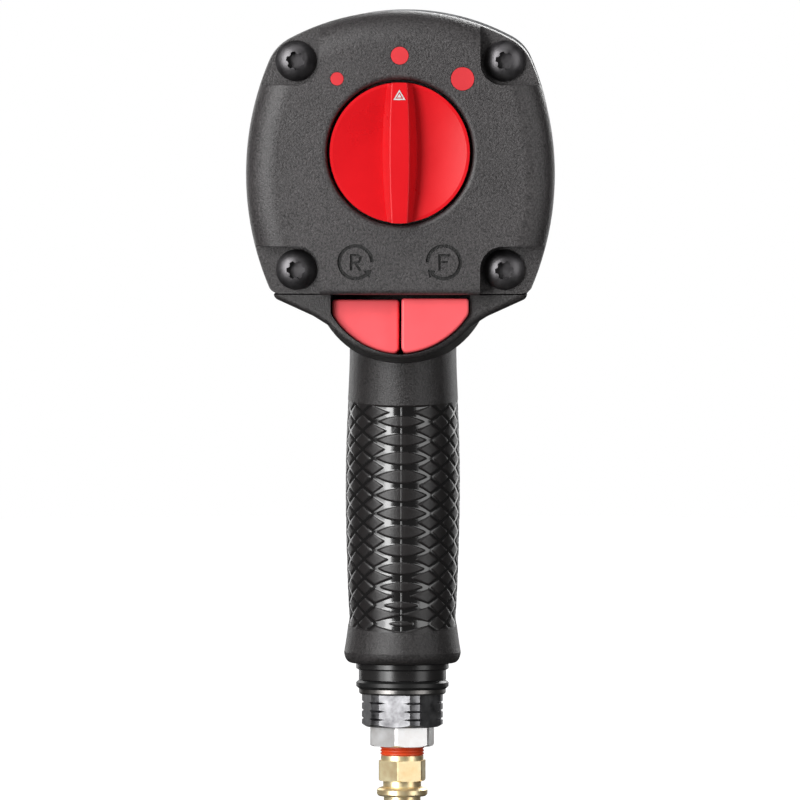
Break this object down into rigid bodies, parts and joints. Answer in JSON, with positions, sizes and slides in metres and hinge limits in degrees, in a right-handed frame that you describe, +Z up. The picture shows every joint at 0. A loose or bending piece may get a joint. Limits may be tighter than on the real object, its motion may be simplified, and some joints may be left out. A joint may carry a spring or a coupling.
{
  "type": "pneumatic impact wrench",
  "caption": "Pistol-grip air impact wrench with a three-quarter inch square drive, rear power dial, direction buttons, trigger, swivelling exhaust ring and hose plug.",
  "frame": {"origin": "on the drive axis at the anvil's shoulder, where the square drive begins", "axes": "+Y out of the square drive, +Z up with the handle hanging down, +X to the right seen from behind the tool"},
  "size_m": [0.0972, 0.218, 0.274],
  "materials": {
    "composite": "glass-filled nylon, finely textured",
    "cover_composite": "glass-filled nylon, finely textured",
    "grip_rubber": "soft grip, matt pads and glossy grooves",
    "red_knob": "glossy red",
    "red_button": "satin red",
    "red_mark": "satin red",
    "pointer_silver": "silver foil",
    "black_screw": "black oxide",
    "case_alloy": "satin die-cast alloy",
    "plate_steel": "ground steel",
    "steel": "bright steel",
    "dark_steel": "phosphated impact steel",
    "bronze": "sintered bronze",
    "brass_insert": "knurled brass",
    "brass": "machined brass",
    "gasket_fibre": "pressed fibre",
    "seal_rubber": "nitrile",
    "vane_resin": "phenolic composite",
    "acetal": "acetal",
    "black_plastic": "moulded",
    "gloss_black": "gloss black",
    "muffler_felt": "sintered felt",
    "black_nickel": "black, worn bright on the flats",
    "zinc_steel": "bright zinc plate",
    "sealant": "orange-red thread sealing compound"
  },
  "bodies": {
    "housing": {"motor_housing": "composite", "grip_sleeve": "grip_rubber", "rear_cover": "cover_composite", "rear_gasket": "gasket_fibre", "cover_screws": "black_screw", "cover_inserts": "brass_insert", "power_marks": "red_mark", "hammer_case": "case_alloy", "case_gasket": "gasket_fibre", "case_screws": "black_screw", "case_inserts": "brass_insert", "nose_bushing": "bronze", "nose_seal": "seal_rubber", "grease_plug": "zinc_steel", "motor_cylinder": "plate_steel", "front_end_plate": "plate_steel", "rear_end_plate": "plate_steel", "dowel_pins": "steel", "front_bearing_outer_ring": "steel", "front_bearing_balls": "steel", "rear_bearing_outer_ring": "steel", "rear_bearing_balls": "steel", "detent_ball": "steel", "detent_spring": "steel", "reverse_valve_bush": "brass_insert", "trigger_bushing": "brass_insert", "throttle_seat": "acetal", "throttle_spring": "steel", "inlet_tube": "black_plastic", "muffler": "muffler_felt", "deflector_seal": "seal_rubber", "inlet_washer": "dark_steel", "inlet_bushing": "black_nickel", "inlet_screen": "zinc_steel", "reducing_bush": "zinc_steel", "sealed_thread": "sealant", "air_plug": "brass"},
    "rotor": {"rotor": "steel", "rotor_vanes": "vane_resin", "front_bearing_inner_ring": "steel", "rear_bearing_inner_ring": "steel", "hammer_cage": "dark_steel", "hammer_pins": "steel"},
    "front_hammer": {"front_hammer": "dark_steel"},
    "rear_hammer": {"rear_hammer": "dark_steel"},
    "anvil": {"anvil": "dark_steel", "socket_ring": "steel"},
    "regulator": {"regulator_knob": "red_knob", "knob_pointer": "pointer_silver", "regulator_valve": "acetal", "regulator_o_ring": "seal_rubber"},
    "reverse_button": {"reverse_button": "red_button"},
    "forward_button": {"forward_button": "red_button"},
    "rocker": {"rocker_arm": "steel", "reverse_valve": "acetal"},
    "trigger": {"trigger": "red_button", "trigger_rod": "steel"},
    "throttle_valve": {"throttle_valve": "steel"},
    "deflector": {"exhaust_deflector": "gloss_black"}
  },
  "joints": [
    {"name": "rotor_spin", "type": "hinge", "parent": "housing", "child": "rotor", "pos_m": [0, -0.123, 0], "axis": [0, 1, 0], "continuous": true},
    {"name": "front_hammer_rock", "type": "hinge", "parent": "rotor", "child": "front_hammer", "pos_m": [0, -0.055, 0.028], "axis": [0, 1, 0], "range_deg": [-3.5, 3.5]},
    {"name": "rear_hammer_rock", "type": "hinge", "parent": "rotor", "child": "rear_hammer", "pos_m": [0, -0.071, -0.028], "axis": [0, 1, 0], "range_deg": [-3.5, 3.5]},
    {"name": "anvil_spin", "type": "hinge", "parent": "housing", "child": "anvil", "pos_m": [0, 0, 0], "axis": [0, 1, 0], "continuous": true},
    {"name": "regulator_turn", "type": "hinge", "parent": "housing", "child": "regulator", "pos_m": [0, -0.18, 0.0041], "axis": [0, 1, 0], "range_deg": [-40.4, 40.4]},
    {"name": "reverse_button_slide", "type": "slide", "parent": "housing", "child": "reverse_button", "axis": [0, -0.9903, 0.1392], "range_m": [0, 0.005]},
    {"name": "forward_button_slide", "type": "slide", "parent": "housing", "child": "forward_button", "axis": [0, -0.9903, 0.1392], "range_m": [-0.005, 0]},
    {"name": "rocker_turn", "type": "hinge", "parent": "housing", "child": "rocker", "pos_m": [0, -0.15625, -0.05162], "axis": [0, 0.1392, 0.9903], "range_deg": [0, 22.3]},
    {"name": "trigger_slide", "type": "slide", "parent": "housing", "child": "trigger", "axis": [0, -0.9945, 0.1045], "range_m": [0, 0.005], "stiffness_N_per_m": 600, "springref_m": -0.008},
    {"name": "throttle_tilt", "type": "hinge", "parent": "housing", "child": "throttle_valve", "pos_m": [0, -0.13198, -0.08868], "axis": [1, 0, 0], "range_deg": [0, 16.5], "deforming": ["throttle_spring"]},
    {"name": "deflector_turn", "type": "hinge", "parent": "housing", "child": "deflector", "pos_m": [0, -0.14677, -0.16244], "axis": [0, -0.1045, -0.9945], "continuous": true}
  ],
  "couplings": [
    {"joint": "forward_button_slide", "follows": "reverse_button_slide", "ratio": -1},
    {"joint": "rocker_turn", "follows": "reverse_button_slide", "rad_per_m": 77.405},
    {"joint": "throttle_tilt", "follows": "trigger_slide", "rad_per_m": 57}
  ]
}
